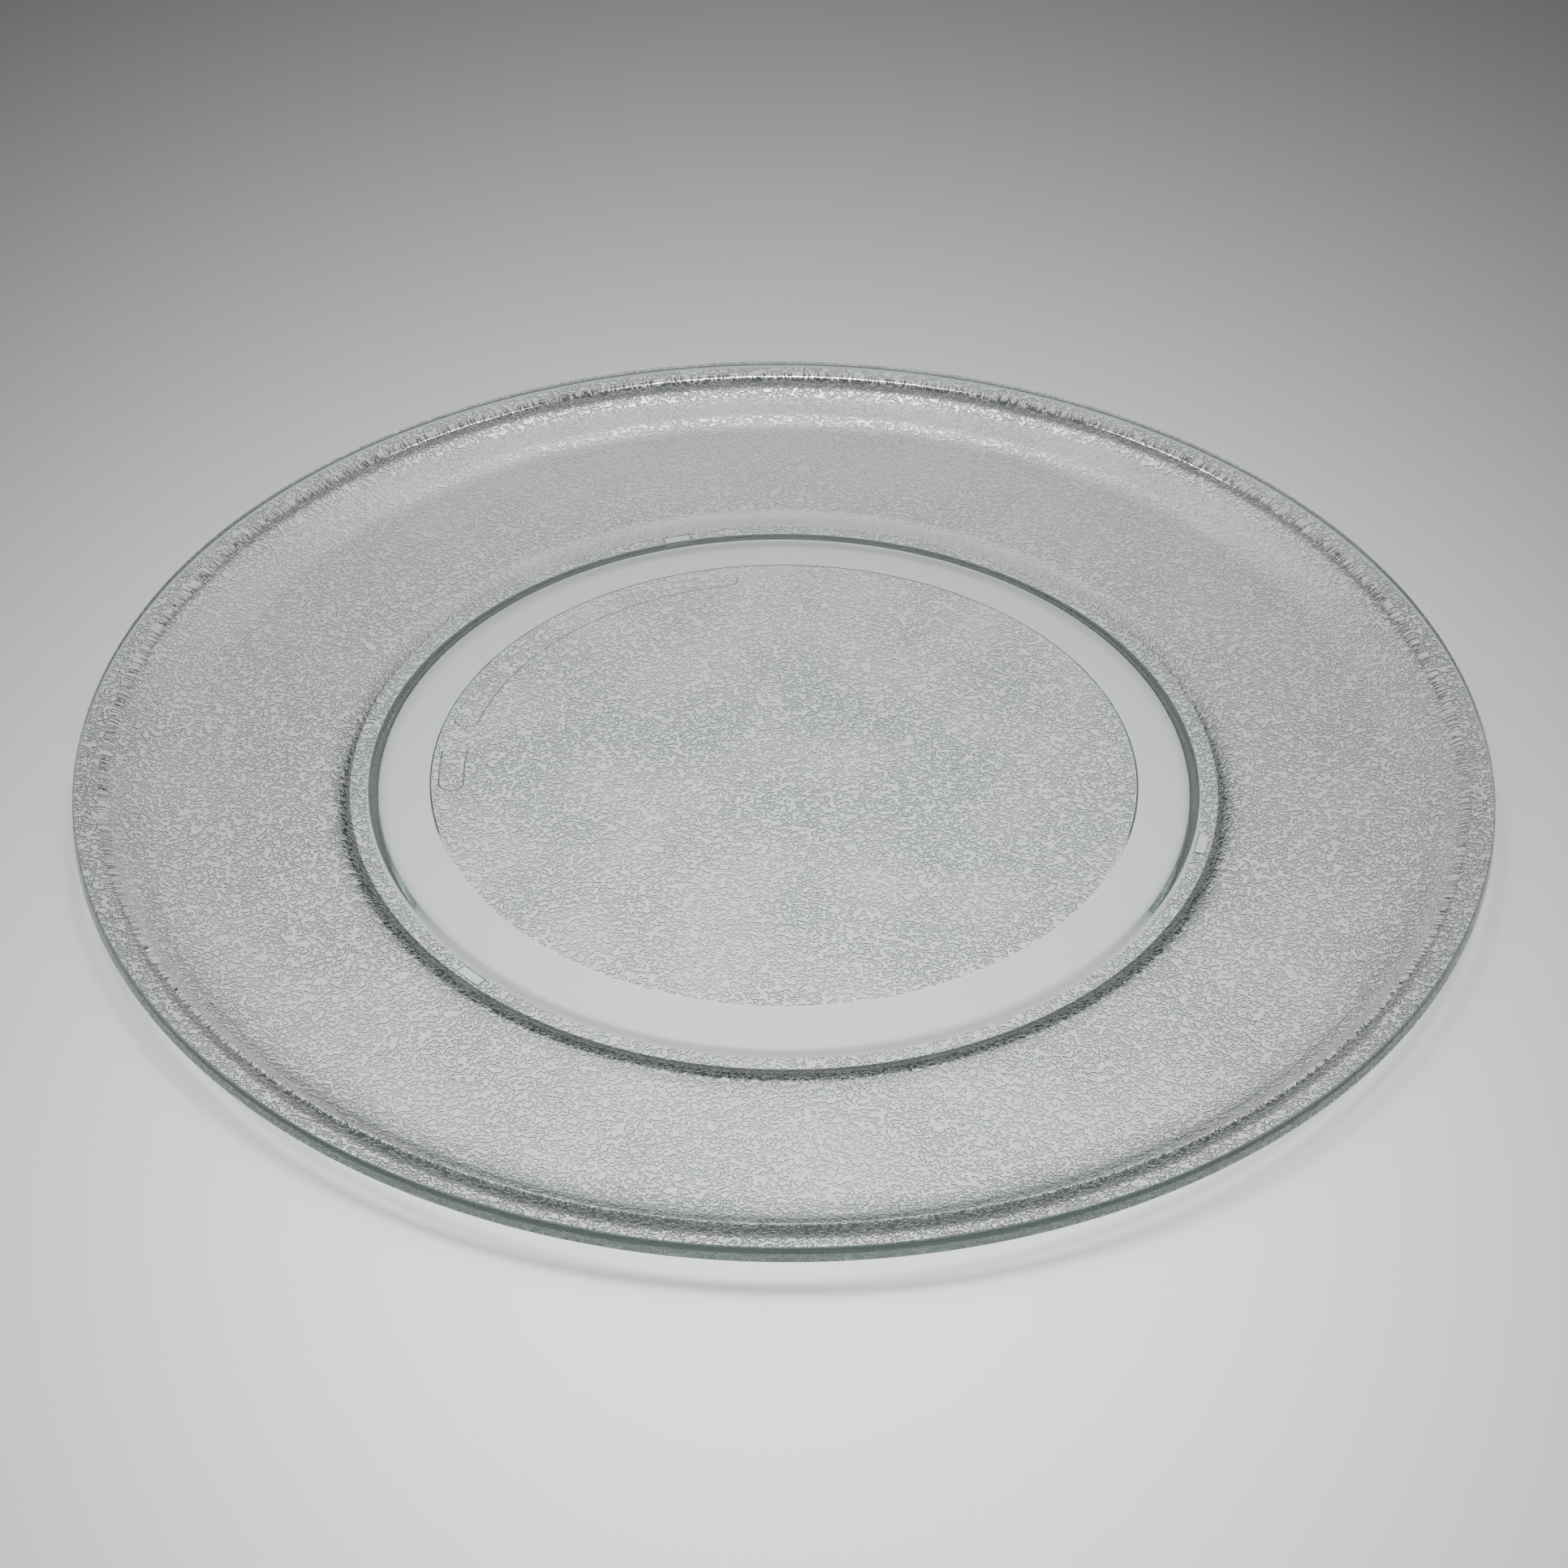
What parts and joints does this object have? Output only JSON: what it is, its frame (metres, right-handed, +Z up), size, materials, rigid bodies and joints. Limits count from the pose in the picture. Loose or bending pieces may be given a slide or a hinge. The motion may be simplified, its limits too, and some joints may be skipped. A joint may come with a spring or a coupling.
{
  "type": "microwave turntable plate",
  "caption": "Round clear pressed-glass turntable plate with a raised flat-lipped rim, pebbled underside, smooth roller track and a low guide ridge standing on small feet.",
  "frame": {"origin": "centre of the plate on the plane that its three feet stand on", "axes": "+Z up along the plate's axis; +Y points away from the camera of the picture"},
  "size_m": [0.3234, 0.3234, 0.0135],
  "materials": {
    "clear_glass": "clear pressed glass with a faint green edge, polished on top and on the roller track, pebbled elsewhere underneath"
  },
  "bodies": {
    "root": {"turntable_plate": "clear_glass"}
  },
  "joints": []
}
